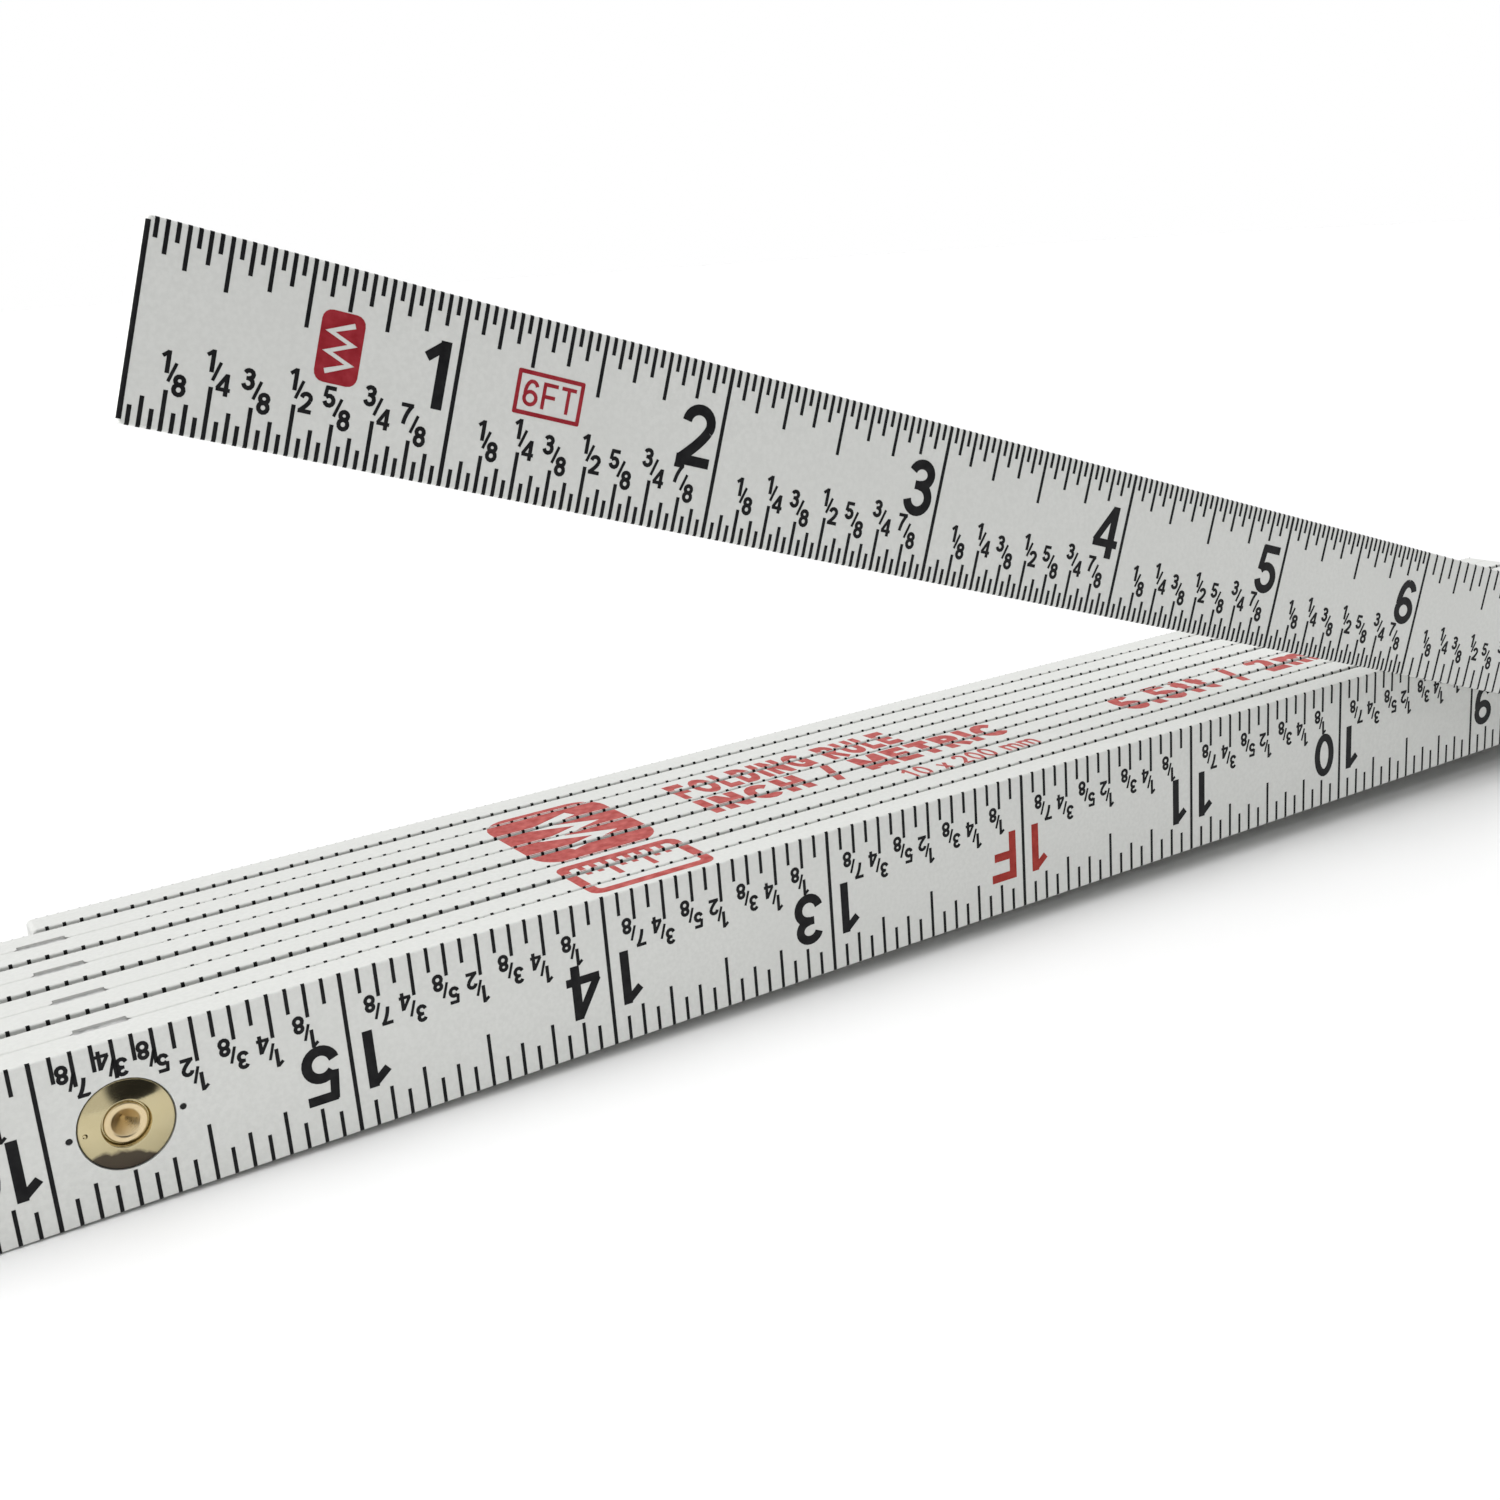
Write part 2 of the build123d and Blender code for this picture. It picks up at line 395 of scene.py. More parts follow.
class Ink:
    """Mesh of one ink on one face, in print coordinates."""

    def __init__(self):
        self.vertices = []
        self.faces = []

    def add_shape(self, vertices, triangles, drop=None):
        """A flat shape, as a closed plate. drop(x, y) lowers it over a rounded edge."""
        first = len(self.vertices)
        count = len(vertices)
        for level in (INK_RISE, -INK_SINK):
            for x, y in vertices:
                self.vertices.append((x, y, level + (drop(x, y) if drop else 0.0)))
        edges = {}
        for triangle in triangles:
            a, b, c = (first + i for i in triangle)
            self.faces += [(a, b, c), (c + count, b + count, a + count)]
            for edge in ((a, b), (b, c), (c, a)):
                edges[edge] = True
        for a, b in edges:
            if (b, a) not in edges:
                self.faces.append((a, a + count, b + count, b))

    def add_polygons(self, polygons, cuts=(), drop=None):
        """Overlapping outlines, joined into one plate, less the cuts."""
        self.add_shape(*flat_shape(polygons, cuts), drop=drop)

    def add_tube(self, rings):
        """A closed tube through rings of four corners."""
        first = len(self.vertices)
        for ring in rings:
            self.vertices += ring
        for i in range(len(rings) - 1):
            a, b = first + 4 * i, first + 4 * i + 4
            for j in range(4):
                k = (j + 1) % 4
                self.faces.append((a + j, a + k, b + k, b + j))
        last = first + 4 * (len(rings) - 1)
        self.faces.append((first, first + 3, first + 2, first + 1))
        self.faces.append((last, last + 1, last + 2, last + 3))

    def add_bar(self, x, low, high, width, wrap_low=False, wrap_high=False):
        """A bar across the link, which can run on over the rounded long edges."""
        flat = HALF_WIDTH - EDGE_RADIUS
        profile = [(low, 0.0, 0.0), (high, 0.0, 0.0)]
        if wrap_low:
            profile[0] = (-flat, 0.0, 0.0)
            profile = [rounded(-1, turn) for turn in reversed(WRAP_ANGLES)] + profile
        if wrap_high:
            profile[-1] = (flat, 0.0, 0.0)
            profile += [rounded(1, turn) for turn in WRAP_ANGLES]
        rings = []
        for y, z, turn in profile:
            rings.append([
                (x + side * width / 2, y + level * math.sin(turn), z + level * math.cos(turn))
                for side, level in BAR_CORNERS
            ])
        self.add_tube(rings)

    def add_end_line(self, width, reach):
        """The zero line, along the square end and over its rounding."""
        profile = [(width, 0.0, 0.0), (EDGE_RADIUS, 0.0, 0.0)]
        for degrees in WRAP_ANGLES:
            turn = math.radians(degrees)
            x = EDGE_RADIUS * (1 - math.sin(turn))
            profile.append((x, -EDGE_RADIUS * (1 - math.cos(turn)), turn))
        rings = []
        for x, z, turn in reversed(profile):
            rings.append([
                (x - level * math.sin(turn), side * reach, z + level * math.cos(turn))
                for side, level in BAR_CORNERS
            ])
        self.add_tube(rings)

    def make(self, name, matrix, body, material):
        """A visible piece that rides on a body, where there is any ink."""
        if not self.faces:
            return
        mesh = bpy.data.meshes.new(name)
        mesh.from_pydata([tuple(value * MM for value in v) for v in self.vertices], [], self.faces)
        mesh.materials.append(material)
        piece = bpy.data.objects.new(name, mesh)
        bpy.context.scene.collection.objects.link(piece)
        piece.matrix_world = matrix
        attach(piece, body)


def rounded(side, degrees):
    """Point and turn of a bar on the rounding of a long edge."""
    turn = math.radians(degrees)
    y = HALF_WIDTH - EDGE_RADIUS + EDGE_RADIUS * math.sin(turn)
    return side * y, -EDGE_RADIUS * (1 - math.cos(turn)), side * turn


# What is printed on a face. Places along it are in millimetres from the rivet, or the
# measuring end, where the link's stretch of the scale starts. reading is the length of
# rule before that.


class Face:
    """The printed stretch of one side of a link, and what stands in its way."""

    def __init__(self, link, side):
        first, last = link.number == 1, link.number == LINK_COUNT
        self.reading = PIVOT_SPACING * (link.number - 1)
        self.low, self.high = -OVERHANG, PIVOT_SPACING + OVERHANG
        self.cap = None
        if side == "front":
            self.low = PLATE_CLEAR
            if not last:
                self.cap = PIVOT_SPACING
        else:
            self.high = PIVOT_SPACING - PLATE_CLEAR
            if not first:
                self.cap = 0.0
        if first:
            self.low = 0.0
        if last:
            self.high = PIVOT_SPACING

    def shows(self, x, margin=0.0):
        """Whether a place is on the printed stretch, with a margin to its ends."""
        return self.low + margin <= x <= self.high - margin

    def free_width(self, x, half_bar=0.0):
        """Half height of the clear circle round the cap at x, or 0 beside it."""
        if self.cap is None:
            return 0.0
        gap = max(0.0, abs(x - self.cap) - half_bar)
        return math.sqrt(max(0.0, CAP_CLEAR**2 - gap**2))

    def meets_cap(self, start, end, margin=0.25):
        """Whether the cap is in the way of print between two places."""
        if self.cap is None:
            return False
        return start < self.cap + CAP_CLEAR + margin and end > self.cap - CAP_CLEAR - margin


def add_tick(ink, face, x, side, length, width):
    """A bar from one long edge, kept off the cap."""
    blocked = face.free_width(x, width / 2)
    length = min(length, HALF_WIDTH - blocked) if blocked else length
    if side > 0:
        ink.add_bar(x, HALF_WIDTH - length, HALF_WIDTH, width, wrap_high=True)
    else:
        ink.add_bar(x, -HALF_WIDTH, -HALF_WIDTH + length, width, wrap_low=True)


def add_full_line(ink, face, x, width):
    """A line across the whole face, broken where the cap is."""
    blocked = face.free_width(x, width / 2)
    if blocked:
        ink.add_bar(x, -HALF_WIDTH, -blocked, width, wrap_low=True)
        ink.add_bar(x, blocked, HALF_WIDTH, width, wrap_high=True)
    else:
        ink.add_bar(x, -HALF_WIDTH, HALF_WIDTH, width, wrap_low=True, wrap_high=True)


def fraction_polygons(top, bottom, x, base, rise):
    """A small fraction: its bottom digit stands on base, right of the bar at x."""
    numerator, end = text_polygons(str(top), 0, 0, FRACTION_DIGIT, FRACTION_WEIGHT, 3)
    right, up = x + NUMERATOR_END - end, base + rise
    if top == 1:
        right += NARROW_ONE * FRACTION_DIGIT
    polygons = [[(px + right, py + up) for px, py in shape] for shape in numerator]
    left = x + DENOMINATOR_START
    polygons += text_polygons(str(bottom), left, base, FRACTION_DIGIT, FRACTION_WEIGHT, 3)[0]
    return polygons + stroke([(x + px, base + py) for px, py in SLASH], SLASH_WIDTH)


def add_fraction(ink, face, x, top, bottom):
    """The fraction over an eighth's bar, lowered and cut where the cap is in its way."""
    base = (EIGHTH_BASE if bottom == 8 else QUARTER_BASE) - HALF_WIDTH
    rise = NUMERATOR_RISE
    cuts = []
    if face.free_width(x, FRACTION_REACH):
        room = -face.free_width(x, FRACTION_SHOULDER) - FRACTION_DIGIT
        base = max(LOWEST_BASE - HALF_WIDTH, min(base, room - rise))
        rise = max(LEAST_RISE, min(rise, room - base))
        cuts = [oval(face.cap, 0, CAP_CLEAR, CAP_CLEAR, 0, 360, 12)[:-1]]
    ink.add_polygons(fraction_polygons(top, bottom, x, base, rise), cuts)


def numeral_layout(face, x, digits):
    """Start of each character of an inch number, set round its line and off the cap."""
    step = DIGIT_PITCH * NUMERAL_HEIGHT
    width = DIGIT_WIDTH * NUMERAL_HEIGHT
    left, right = x - SPLIT_NUMERAL_GAP, x + SPLIT_NUMERAL_GAP
    if len(digits) == 1:
        start = x - NUMERAL_GAP - width
        return [right] if face.meets_cap(start, start + width) else [start]
    if face.meets_cap(left - width, left):
        if digits[0] == "1":
            return [x + ONE_GAP, x + ONE_GAP + ONE_PITCH]
        start = max(right, face.cap + CAP_CLEAR + CAP_ROOM)
        return [start, start + step]
    if face.meets_cap(right, right + width):
        end = min(left, face.cap - CAP_CLEAR - CAP_ROOM)
        return [end - step - width, end - width]
    return [left - width, right]


def print_inches(link):
    """Black and red ink of the inch side."""
    face = Face(link, "front")
    black, red = Ink(), Ink()
    first = math.floor((face.reading + face.low) / INCH * 32)
    last = math.ceil((face.reading + face.high) / INCH * 32)
    for count in range(first, last + 1):
        inches, part = divmod(count, 32)
        if part % 2 and inches >= FINE_INCHES:
            continue
        x = count / 32 * INCH - face.reading
        if not face.shows(x, INCH_LINE_WIDTH / 2) or count == 0:
            continue
        if part == 0:
            add_full_line(black, face, x, INCH_LINE_WIDTH)
            add_inch_number(black, red, face, x, inches)
            continue
        shared = math.gcd(part, 32)
        top, bottom = part // shared, 32 // shared
        add_tick(black, face, x, 1, PLAIN_EDGE_BARS[bottom], BAR_WIDTH)
        add_tick(black, face, x, -1, FRACTION_EDGE_BARS[bottom], BAR_WIDTH)
        if bottom <= 8 and face.shows(x, FRACTION_MARGIN):
            add_fraction(black, face, x, top, bottom)
    return black, red


def add_inch_number(black, red, face, x, inches):
    """The number at an inch line. Whole feet are red, such as 1F."""
    feet = inches % 12 == 0
    characters = f"{inches // 12}F" if feet else str(inches)
    ink = red if feet else black
    places = numeral_layout(face, x, characters)
    for place, character in zip(places, characters):
        if not face.shows(place, 0.1) or not face.shows(place + DIGIT_WIDTH * NUMERAL_HEIGHT, 0.1):
            continue
        offset = 0.0
        if character == "1" and len(places) == 1:
            offset = ONE_ALONE
        if character == "1" and len(places) == 2 and places[0] < x:
            offset = ONE_LEFT if place < x else -ONE_RIGHT
        start = place + offset
        shapes = text_polygons(character, start, NUMERAL_BASE, NUMERAL_HEIGHT, NUMERAL_WEIGHT, 6)[0]
        ink.add_polygons(shapes)


def print_centimetres(link):
    """Black and red ink of the metric side."""
    face = Face(link, "back")
    black, red = Ink(), Ink()
    for x in range(math.ceil(face.low), math.floor(face.high) + 1):
        if not face.shows(x, CM_BAR_WIDTH / 2) or x + face.reading <= 0:
            continue
        size = next(step for step in CM_BARS if x % step == 0)
        for side in (-1, 1):
            add_tick(black, face, x, side, CM_BARS[size], CM_BAR_WIDTH)
        if size == 10:
            add_cm_number(red if x % 100 == 0 else black, face, x)
    return black, red


def add_cm_number(ink, face, x):
    """The number of whole centimetres, centred on its line. The one at the cap is left out."""
    text = str(round((x + face.reading) / 10))
    shapes, end = text_polygons(text, 0, 0, CM_NUMERAL_HEIGHT, NUMERAL_WEIGHT, 4, tracking=0.1)
    start = x - end / 2
    on_face = face.shows(start, 0.2) and face.shows(start + end, 0.2)
    if face.meets_cap(start, start + end, 0.2) or not on_face:
        return
    moved = [[(px + start, py + CM_NUMERAL_BASE) for px, py in shape] for shape in shapes]
    ink.add_polygons(moved)


# Marks on the first link, with the near lower corner of each

SIGN_FOLDS = 5
SMALL_SIGN = (13.8, -1.4)
LENGTH_BOX = (30.6, -0.45)


def zigzag(x, y, width, height, folds, weight):
    """Sign of a folded rule: a zigzag line of equal folds."""
    points = []
    for i in range(folds + 1):
        points.append((x + width * (i % 2), y + height * i / folds))
    return stroke(points, weight)


def add_first_link_marks(black, red):
    """The zero line, a small folded-rule sign and the boxed length."""
    black.add_end_line(ZERO_LINE_WIDTH, HALF_WIDTH - ZERO_LINE_SHORT)
    x, y = SMALL_SIGN
    sign = box_outline(x, y, x + 3.5, y + 5.5, 0.8)
    red.add_polygons([sign], cuts=zigzag(x + 0.8, y + 0.85, 1.9, 3.8, SIGN_FOLDS, 0.42))
    x, y = LENGTH_BOX
    outer = box_outline(x, y, x + 6.2, y + 3.65, 0.15)
    inner = box_outline(x + 0.35, y + 0.35, x + 5.85, y + 3.3, 0.05)
    red.add_polygons([outer], cuts=[inner])
    red.add_polygons(text_polygons("6FT", x + 0.7, y + 0.75, 2.2, 0.14, 5, tracking=0.16)[0])


# Print across the top edges of the closed rule. It is drawn once, in millimetres from
# the +X rivets and from the front of link 2, and each link carries its own slice.

TOP_LINKS = range(2, LINK_COUNT)
SIGN_LEFT, SIGN_RIGHT = -155.8, -142.3
SIGN_FRONT, SIGN_SPLIT, SIGN_BACK = 1.0, 11.2, 27.6
SIGN_GAP = 1.3
FRAME_WIDTH = 1.1
BAR_SPACES = 9
TOP_MARGIN = 0.04

# Each line of words: its left and right ends, base, height and weight
TOP_WORDS = (
    ("FOLDING RULE", -135.0, -105.5, 19.4, 5.4, 0.24),
    ("INCH / METRIC", -135.0, -94.5, 13.1, 5.1, 0.26),
    ("10 x 200 mm", -113.5, -95.0, 7.4, 3.3, 0.16),
    ("6.5ft / 2m", -79.0, -46.0, 9.2, 6.2, 0.24),
)


def top_print():
    """Groups of shapes of the print, each with the shapes cut out of it."""
    width = SIGN_RIGHT - SIGN_LEFT
    panel_depth = SIGN_BACK - SIGN_SPLIT
    panel = box_outline(SIGN_LEFT, SIGN_SPLIT, SIGN_RIGHT, SIGN_BACK, 3.2, 6)
    sign = zigzag(SIGN_LEFT + 4.2, SIGN_SPLIT + 3.2, width - 8.4, panel_depth - 6.4, SIGN_FOLDS, 1.5)
    low, high = SIGN_FRONT + FRAME_WIDTH, SIGN_SPLIT - SIGN_GAP - FRAME_WIDTH
    left, right = SIGN_LEFT + FRAME_WIDTH, SIGN_RIGHT - FRAME_WIDTH
    scale_box = box_outline(SIGN_LEFT, SIGN_FRONT, SIGN_RIGHT, SIGN_SPLIT - SIGN_GAP, 1.2, 4)
    window = box_outline(left, low, right, high, 0.5, 4)
    bars = []
    for i in range(1, BAR_SPACES):
        x = left + (right - left) * i / BAR_SPACES
        length = 4.2 if i % 3 == 0 else 2.4
        bars.append(box_outline(x - 0.3, high - 0.1 - length, x + 0.3, high + 0.1))
    groups = [([panel, scale_box], sign + [window]), (bars, [])]
    for words, start, stop, base, height, weight in TOP_WORDS:
        polygons, end = text_polygons(words, 0, 0, height, weight, 4)
        squeeze = (stop - start) / end
        text = [[(start + x * squeeze, base + y) for x, y in shape] for shape in polygons]
        groups.append((text, []))
    return groups


def top_drop(x, y):
    """How far the top edge of a link falls at its two roundings."""
    over = abs(y) - (HALF_THICKNESS - EDGE_RADIUS)
    if over <= 0:
        return 0.0
    return math.sqrt(max(0.0, EDGE_RADIUS**2 - over**2)) - EDGE_RADIUS


def between(shape, low, high):
    """The part of a convex outline between two values of y."""
    for limit, side in ((low, 1), (high, -1)):
        kept = []
        for i, (x, y) in enumerate(shape):
            old_x, old_y = shape[i - 1]
            inside = (y - limit) * side >= 0
            if inside != ((old_y - limit) * side >= 0):
                part = (limit - old_y) / (y - old_y)
                kept.append((old_x + (x - old_x) * part, limit))
            if inside:
                kept.append((x, y))
        shape = kept
    return shape


def print_top(link, stack):
    """Red ink on the top edge of one link, in three bands: two roundings and a flat."""
    red = Ink()
    to_link = link.place(OVERHANG).inverted() @ stack
    flat = HALF_THICKNESS - EDGE_RADIUS
    end = HALF_THICKNESS - TOP_MARGIN

    def on_link(shape):
        return [(to_link @ Vector((x * MM, y * MM, 0))).xy / MM for x, y in shape]

    for shapes, cuts in top_print():
        shapes = [on_link(shape) for shape in shapes]
        cuts = [on_link(shape) for shape in cuts]
        for low, high in ((-end, -flat), (-flat, flat), (flat, end)):
            near = [between(shape, low, high) for shape in shapes]
            near = [shape for shape in near if len(shape) > 2]
            holes = [between(shape, low - 1, high + 1) for shape in cuts]
            holes = [shape for shape in holes if len(shape) > 2]
            if near:
                red.add_polygons(near, cuts=holes, drop=top_drop)
    return red


# Materials


def set_ranges(node, low, high, to_low, to_high):
    """Set what a Map Range node maps from and to."""
    for name, value in (("From Min", low), ("From Max", high), ("To Min", to_low), ("To Max", to_high)):
        node.inputs[name].default_value = value


class Material:
    """A material's node tree, with short ways to add the nodes that repeat."""

    def __init__(self, name, metallic=0.0):
        self.material = bpy.data.materials.new(name)
        self.material.use_nodes = True
        self.nodes = self.material.node_tree.nodes
        self.wires = self.material.node_tree.links
        self.shader = self.nodes["Principled BSDF"]
        self.shader.inputs["Metallic"].default_value = metallic
        self.place = self.nodes.new("ShaderNodeTexCoord")

    def join(self, source, target):
        """A wire between two sockets."""
        self.wires.new(source, target)

    def noise(self, scale, detail=3.0, stretch=None):
        """Noise over the object's own place in metres, stretched by a scale per axis."""
        texture = self.nodes.new("ShaderNodeTexNoise")
        texture.inputs["Scale"].default_value = scale
        texture.inputs["Detail"].default_value = detail
        source = self.place.outputs["Object"]
        if stretch:
            mapping = self.nodes.new("ShaderNodeMapping")
            mapping.inputs["Scale"].default_value = stretch
            self.join(source, mapping.inputs["Vector"])
            source = mapping.outputs["Vector"]
        self.join(source, texture.inputs["Vector"])
        return texture.outputs["Fac"]

    def ramp(self, factor, stops):
        """Colour ramp from (position, colour) stops."""
        ramp = self.nodes.new("ShaderNodeValToRGB")
        elements = ramp.color_ramp.elements
        while len(elements) < len(stops):
            elements.new(0.5)
        for element, (position, colour) in zip(elements, stops):
            element.position = position
            element.color = (*colour, 1)
        self.join(factor, ramp.inputs["Fac"])
        return ramp.outputs["Color"]

    def span(self, factor, low, high, to_low, to_high):
        """Map a value from one range to another, held at its ends."""
        node = self.nodes.new("ShaderNodeMapRange")
        set_ranges(node, low, high, to_low, to_high)
        self.join(factor, node.inputs["Value"])
        return node.outputs["Result"]

    def combine(self, first, second, operation="ADD"):
        """A math node on two values, each a socket or a number."""
        node = self.nodes.new("ShaderNodeMath")
        node.operation = operation
        for value, socket in zip((first, second), node.inputs):
            if isinstance(value, (int, float)):
                socket.default_value = value
            else:
                self.join(value, socket)
        return node.outputs["Value"]

    def mix(self, factor, first, second):
        """A blend of two colours."""
        node = self.nodes.new("ShaderNodeMix")
        node.data_type = "RGBA"
        self.join(factor, node.inputs["Factor"])
        for value, socket in zip((first, second), (node.inputs["A"], node.inputs["B"])):
            if isinstance(value, tuple):
                socket.default_value = (*value, 1)
            else:
                self.join(value, socket)
        return node.outputs["Result"]

    def bump(self, height, distance, strength=1.0, under=None):
        """A normal from a height, on top of another normal."""
        node = self.nodes.new("ShaderNodeBump")
        node.inputs["Distance"].default_value = distance
        node.inputs["Strength"].default_value = strength
        self.join(height, node.inputs["Height"])
        if under:
            self.join(under, node.inputs["Normal"])
        return node.outputs["Normal"]

    def worn_edge(self, radius):
        """One on sharp edges, zero on flat faces."""
        bevel = self.nodes.new("ShaderNodeBevel")
        bevel.samples = 4
        bevel.inputs["Radius"].default_value = radius
        shape = self.nodes.new("ShaderNodeNewGeometry")
        dot = self.nodes.new("ShaderNodeVectorMath")
        dot.operation = "DOT_PRODUCT"
        self.join(bevel.outputs["Normal"], dot.inputs[0])
        self.join(shape.outputs["Normal"], dot.inputs[1])
        return self.span(dot.outputs["Value"], 0.99, 0.86, 0.0, 1.0)

    def finish(self, colour, roughness, normal):
        """Wire the shader and give the material."""
        for source, name in ((colour, "Base Color"), (roughness, "Roughness"), (normal, "Normal")):
            self.join(source, self.shader.inputs[name])
        return self.material


def white_composite():
    """Glass-filled plastic: faint mottling, a fine speckle, and greyer, worn edges."""
    m = Material("white_composite")
    clouds = m.noise(90.0, 4.0)
    speckle = m.noise(2400.0, 3.0)
    tone = m.ramp(clouds, ((0.3, (0.688, 0.696, 0.672)), (0.7, (0.708, 0.716, 0.692))))
    grain = m.ramp(speckle, ((0.35, (0.66, 0.668, 0.645)), (0.65, (0.735, 0.743, 0.72))))
    body = m.mix(m.span(clouds, 0.3, 0.7, 0.35, 0.65), tone, grain)
    wear = m.combine(m.worn_edge(0.00025), m.span(m.noise(350.0), 0.45, 0.7, 0.1, 0.6), "MULTIPLY")
    colour = m.mix(wear, body, (0.62, 0.615, 0.60))
    roughness = m.span(m.noise(260.0, 3.0), 0.3, 0.7, 0.36, 0.52)
    normal = m.bump(m.noise(2600.0, 2.0), 0.00001, 0.25)
    m.shader.inputs["Specular IOR Level"].default_value = 0.2
    return m.finish(colour, roughness, normal)


# The painted dark reflection on the lower side of a cap ends at a slanted line, bowed down at its ends
PAINTED_REFLECTION_SLOPE = 0.28
PAINTED_REFLECTION_BOW = 0.5


def polished_brass(name, pale, deep, rough, dome=0.0):
    """Polished brass with fine turned lines. dome rounds the shading of a disc and
    has its lower side painted dark, a painted reflection. Places on the disc are parts of its width."""
    m = Material(name, 1.0)
    centred = m.nodes.new("ShaderNodeMapping")
    centred.inputs["Location"].default_value = (-0.5, 0, -0.5)
    m.join(m.place.outputs["Generated"], centred.inputs["Vector"])
    parts = m.nodes.new("ShaderNodeSeparateXYZ")
    m.join(centred.outputs["Vector"], parts.inputs["Vector"])
    across = m.combine(parts.outputs["X"], parts.outputs["X"], "MULTIPLY")
    up = m.combine(parts.outputs["Z"], parts.outputs["Z"], "MULTIPLY")
    square = m.combine(across, up)
    radius = m.combine(square, 0.5, "POWER")
    rings = m.nodes.new("ShaderNodeCombineXYZ")
    m.join(radius, rings.inputs["X"])
    turned = m.nodes.new("ShaderNodeTexNoise")
    turned.inputs["Scale"].default_value = 60.0
    turned.inputs["Detail"].default_value = 3.0
    m.join(rings.outputs["Vector"], turned.inputs["Vector"])
    stain = m.noise(420.0, 3.0)
    colour = m.mix(m.span(stain, 0.35, 0.7, 0.0, 0.55), pale, deep)
    # Painted shade: each disc is painted darker in a thin ring at its rim
    edge = m.span(radius, 0.478, 0.497, 0.0, 0.65)
    colour = m.mix(edge, colour, tuple(value * 0.45 for value in deep))
    gloss = m.span(turned.outputs["Fac"], 0.3, 0.7, rough, rough + 0.07)
    if dome:
        # Painted reflection: the lower side of a domed disc is painted near black, standing in for a
        # reflection of the shade under the rule
        height = m.combine(parts.outputs["Z"], m.span(m.noise(900.0), 0.3, 0.7, -0.02, 0.02))
        height = m.combine(height, m.combine(parts.outputs["X"], PAINTED_REFLECTION_SLOPE, "MULTIPLY"))
        height = m.combine(height, m.combine(across, PAINTED_REFLECTION_BOW, "MULTIPLY"))
        painted_reflection = m.span(height, -0.29, -0.33, 0.0, 0.93)
        colour = m.mix(painted_reflection, colour, (0.055, 0.042, 0.035))
        gloss = m.combine(gloss, m.combine(painted_reflection, 0.2, "MULTIPLY"))
    roughness = m.combine(gloss, m.span(stain, 0.4, 0.8, 0.0, 0.1))
    normal = m.bump(turned.outputs["Fac"], 0.000004, 0.4)
    if dome:
        normal = m.bump(m.combine(square, -4.0, "MULTIPLY"), dome, 1.0, normal)
    return m.finish(colour, roughness, normal)


# Distance of a prong from the middle of its plate, as a part of the plate's width
PRONG_PLACE = 0.2955


def plate_steel():
    """Bright stamped steel, dark on the cut ends of the prongs."""
    m = Material("plate_steel", 1.0)
    parts = m.nodes.new("ShaderNodeSeparateXYZ")
    m.join(m.place.outputs["Generated"], parts.inputs["Vector"])
    along = m.combine(m.combine(parts.outputs["X"], 0.5, "SUBTRACT"), 0.0, "ABSOLUTE")
    off = m.combine(m.combine(along, PRONG_PLACE, "SUBTRACT"), 2.0, "POWER")
    height = m.combine(m.combine(parts.outputs["Z"], 0.5, "SUBTRACT"), 2.0, "POWER")
    prong = m.span(m.combine(off, height), 0.0009, 0.0004, 0.0, 1.0)
    brushed = m.noise(1500.0, 2.0, (1, 1, 0.05))
    colour = m.ramp(brushed, ((0.3, (0.60, 0.60, 0.60)), (0.7, (0.78, 0.78, 0.77))))
    colour = m.mix(prong, colour, (0.03, 0.03, 0.03))
    roughness = m.span(brushed, 0.3, 0.7, 0.3, 0.5)
    return m.finish(colour, roughness, m.bump(brushed, 0.00001, 0.3))


def ink(name, dark, light, roughness):
    """Printed ink, a little thin in places, with a slightly uneven gloss."""
    m = Material(name)
    cover = m.noise(1100.0, 4.0)
    colour = m.ramp(cover, ((0.35, dark), (0.72, light)))
    gloss = m.span(m.noise(500.0), 0.3, 0.7, roughness - 0.06, roughness + 0.08)
    m.shader.inputs["Specular IOR Level"].default_value = 0.15
    return m.finish(colour, gloss, m.bump(cover, 0.000004, 0.3))


def studio_floor():
    """Smooth pale surface."""
    m = Material("studio_floor")
    tone = m.ramp(m.noise(3.0, 2.0), ((0.3, (0.945, 0.945, 0.945)), (0.7, (0.955, 0.955, 0.955))))
    m.shader.inputs["Specular IOR Level"].default_value = 0.1
    return m.finish(tone, m.span(m.noise(40.0), 0.3, 0.7, 0.7, 0.8), m.bump(m.noise(300.0), 0.00002, 0.1))


WHITE = white_composite()
# The caps are domed, which also gives each cap a painted dark reflection on its lower side
CAP_BRASS = polished_brass("cap_brass", (0.56, 0.49, 0.30), (0.50, 0.425, 0.245), 0.07, 0.00098)
RIVET_BRASS = polished_brass("rivet_brass", (0.72, 0.59, 0.37), (0.64, 0.50, 0.29), 0.22)
STEEL = plate_steel()
BLACK_INK = ink("black_ink", (0.003, 0.003, 0.004), (0.012, 0.012, 0.013), 0.42)
RED_INK = ink("red_ink", (0.27, 0.012, 0.02), (0.36, 0.03, 0.042), 0.42)
FEET_INK = ink("feet_ink", (0.30, 0.025, 0.018), (0.40, 0.045, 0.034), 0.42)
TOP_INK = ink("top_ink", (0.38, 0.05, 0.045), (0.55, 0.13, 0.115), 0.5)

looks = {"link": WHITE, "rivet": RIVET_BRASS, "cap": CAP_BRASS, "plate": STEEL}
for name, node in frame["nodes"].items():
    kind = next(kind for kind in looks if kind in name)
    node.data.materials.clear()
    node.data.materials.append(looks[kind])

# Where the folded stack is: its origin is on the front of link 2, under the height of
# the first rivet, and its x runs along the line of rivets

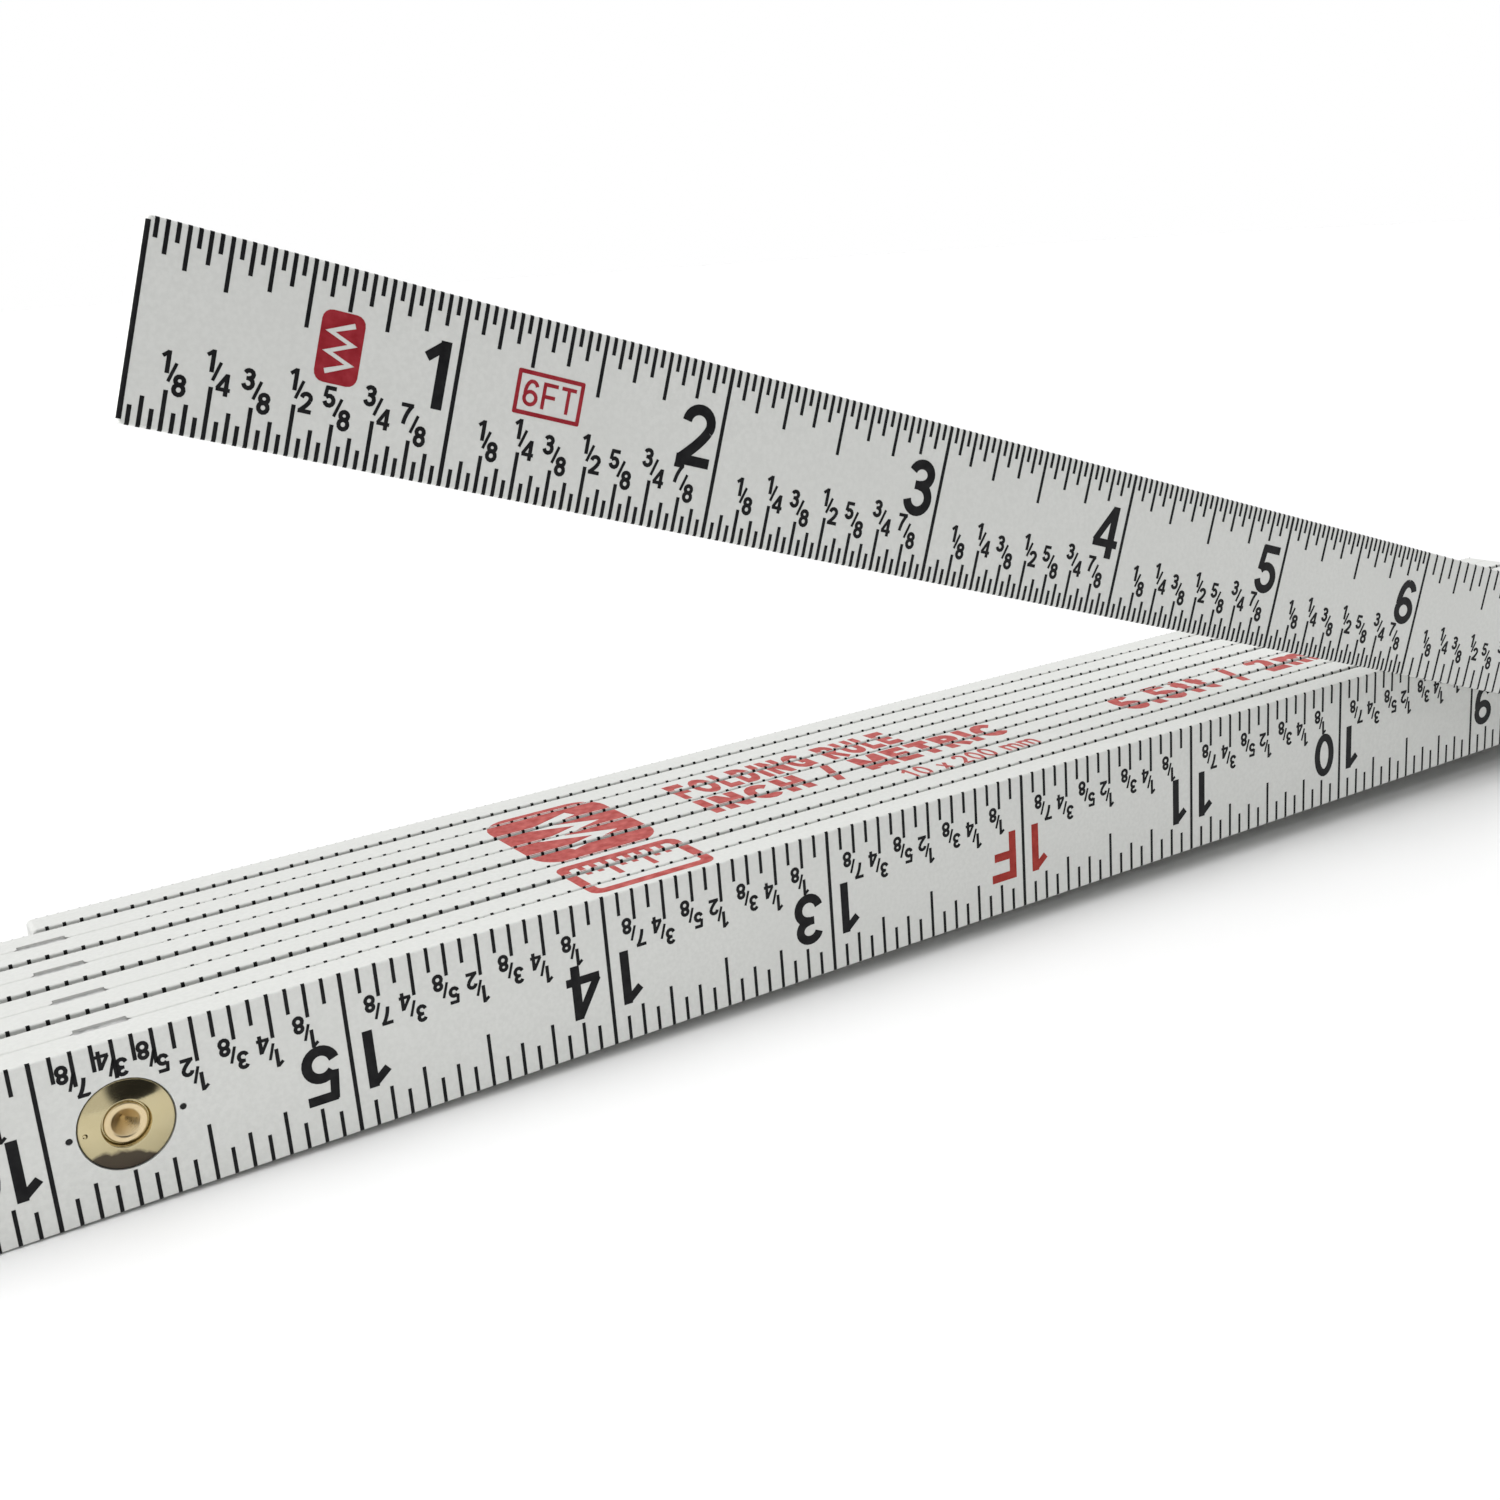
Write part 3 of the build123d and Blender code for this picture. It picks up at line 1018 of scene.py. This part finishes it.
joint_at = {joint["name"]: Vector(joint["pos_m"]) for joint in frame["joints"]}
rivet_line = joint_at["joint_09"] - joint_at["joint_08"]
stack_tilt = math.atan2(rivet_line.z, rivet_line.x)
first_rivet = joint_at["joint_01"]
link_2_front = Vector((PIVOT_SPACING / 2 * MM, -HALF_THICKNESS * MM, 0))
stack_front = (links[1].place(OVERHANG) @ link_2_front).y
stack = Matrix.Translation((first_rivet.x, stack_front, first_rivet.z))
stack = stack @ Matrix.Rotation(-stack_tilt, 4, "Y")

# The printed pieces

for link in links:
    place = link.place(OVERHANG)
    black, red = print_inches(link)
    marks = Ink()
    if link.number == 1:
        add_first_link_marks(black, marks)
    front = place @ face_matrix(link.number, "front")
    number = f"{link.number:02d}"
    black.make(f"inch_scale_{number}", front, link.name, BLACK_INK)
    red.make(f"feet_{number}", front, link.name, FEET_INK)
    marks.make(f"red_marks_{number}", front, link.name, RED_INK)
    back = place @ face_matrix(link.number, "back")
    black, red = print_centimetres(link)
    black.make(f"metric_scale_{number}", back, link.name, BLACK_INK)
    red.make(f"metric_tens_{number}", back, link.name, FEET_INK)
    if link.number in TOP_LINKS:
        top = place @ Matrix.Translation((0, 0, HALF_WIDTH * MM))
        print_top(link, stack).make(f"top_print_{number}", top, link.name, TOP_INK)

# Floor

FLOOR_REACH = 8.0
corners = box_outline(-FLOOR_REACH, -FLOOR_REACH, FLOOR_REACH, FLOOR_REACH)
floor_mesh = bpy.data.meshes.new("floor")
floor_mesh.from_pydata([(x, y, 0) for x, y in corners], [], [(0, 1, 2, 3)])
floor_mesh.materials.append(studio_floor())
floor = bpy.data.objects.new("floor", floor_mesh)
scene = bpy.context.scene
scene.collection.objects.link(floor)

# Light: a white room lit from above. What polished metal mirrors is an evenly white
# room with a dark stand where the photographer is.

scene.view_settings.view_transform = "Standard"
world = bpy.data.worlds.new("studio")
scene.world = world
world.use_nodes = True
nodes = world.node_tree.nodes
wires = world.node_tree.links
background = nodes["Background"]
bearing = nodes.new("ShaderNodeTexCoord")


def world_lobe(direction, low, high, base, rise):
    """Brightness from base to base + rise towards a direction, between two cosines."""
    dot = nodes.new("ShaderNodeVectorMath")
    dot.operation = "DOT_PRODUCT"
    dot.inputs[1].default_value = Vector(direction).normalized()
    wires.new(bearing.outputs["Generated"], dot.inputs[0])
    ease = nodes.new("ShaderNodeMapRange")
    ease.interpolation_type = "SMOOTHSTEP"
    set_ranges(ease, low, high, base, base + rise)
    wires.new(dot.outputs["Value"], ease.inputs["Value"])
    return ease.outputs["Result"]


def world_pick(factor, first, second):
    """The first value where the factor is 0, and the second where it is 1."""
    node = nodes.new("ShaderNodeMix")
    wires.new(factor, node.inputs["Factor"])
    for value, socket in zip((first, second), (node.inputs["A"], node.inputs["B"])):
        if isinstance(value, (int, float)):
            socket.default_value = value
        else:
            wires.new(value, socket)
    return node.outputs["Result"]


ray = nodes.new("ShaderNodeLightPath")
room = world_lobe((-0.15, 0.0, 1.0), 0.3, 1.0, 0.03, 1.97)
mirrored = world_lobe((0.38, -0.85, 0.36), 0.81, 0.91, 0.85, -0.82)
light = world_pick(ray.outputs["Is Glossy Ray"], room, mirrored)
light = world_pick(ray.outputs["Is Camera Ray"], light, 1.0)
wires.new(light, background.inputs["Strength"])
background.inputs["Color"].default_value = (1, 1, 1, 1)

# Two soft lamps, placed from the stack's origin in metres. One lies low in front of the
# near end of link 2, and one stands on the left and lights the measuring end of link 1.


def add_lamp(name, spot, target, width, height, spread, energy):
    """A soft lamp that polished metal doesn't mirror."""
    data = bpy.data.lights.new(name, "AREA")
    data.shape = "RECTANGLE"
    data.size = width
    data.size_y = height
    data.spread = math.radians(spread)
    data.energy = energy
    lamp = bpy.data.objects.new(name, data)
    lamp.visible_glossy = False
    scene.collection.objects.link(lamp)
    spot = stack @ Vector(spot)
    turn = (stack @ Vector(target) - spot).to_track_quat("-Z", "Y")
    lamp.matrix_world = Matrix.Translation(spot) @ turn.to_matrix().to_4x4()


add_lamp("low_lamp", (-0.33, -0.16, 0.006), (-0.175, 0, -0.002), 0.07, 0.02, 40, 0.0036)
add_lamp("side_lamp", (-0.56, 0.02, 0.075), (-0.19, 0.0, 0.063), 0.06, 0.06, 24, 0.03)

# Camera: placed from the stack's origin, in millimetres and degrees

CAMERA_SPOT = Vector((-222.33, -137.4, 65.71))
CAMERA_AZIMUTH = 31.43
CAMERA_ELEVATION = 16.54
CAMERA_ROLL = -4.51
CAMERA_LENS = 42.18

camera_data = bpy.data.cameras.new("camera")
camera = bpy.data.objects.new("camera", camera_data)
scene.collection.objects.link(camera)
scene.camera = camera
camera_data.sensor_width = 36.0
camera_data.lens = CAMERA_LENS
camera_data.clip_start = 0.005
camera_data.clip_end = 30


def camera_turn(azimuth, elevation, roll):
    """Turn of a camera that looks along +Y at azimuth 0 and down by the elevation."""
    level = math.cos(math.radians(elevation))
    x = math.sin(math.radians(azimuth)) * level
    y = math.cos(math.radians(azimuth)) * level
    look = Vector((x, y, -math.sin(math.radians(elevation))))
    upright = look.to_track_quat("-Z", "Y").to_matrix().to_4x4()
    return upright @ Matrix.Rotation(math.radians(roll), 4, "Z")


turn = camera_turn(CAMERA_AZIMUTH, CAMERA_ELEVATION, CAMERA_ROLL)
camera.matrix_world = stack @ Matrix.Translation(CAMERA_SPOT * MM) @ turn
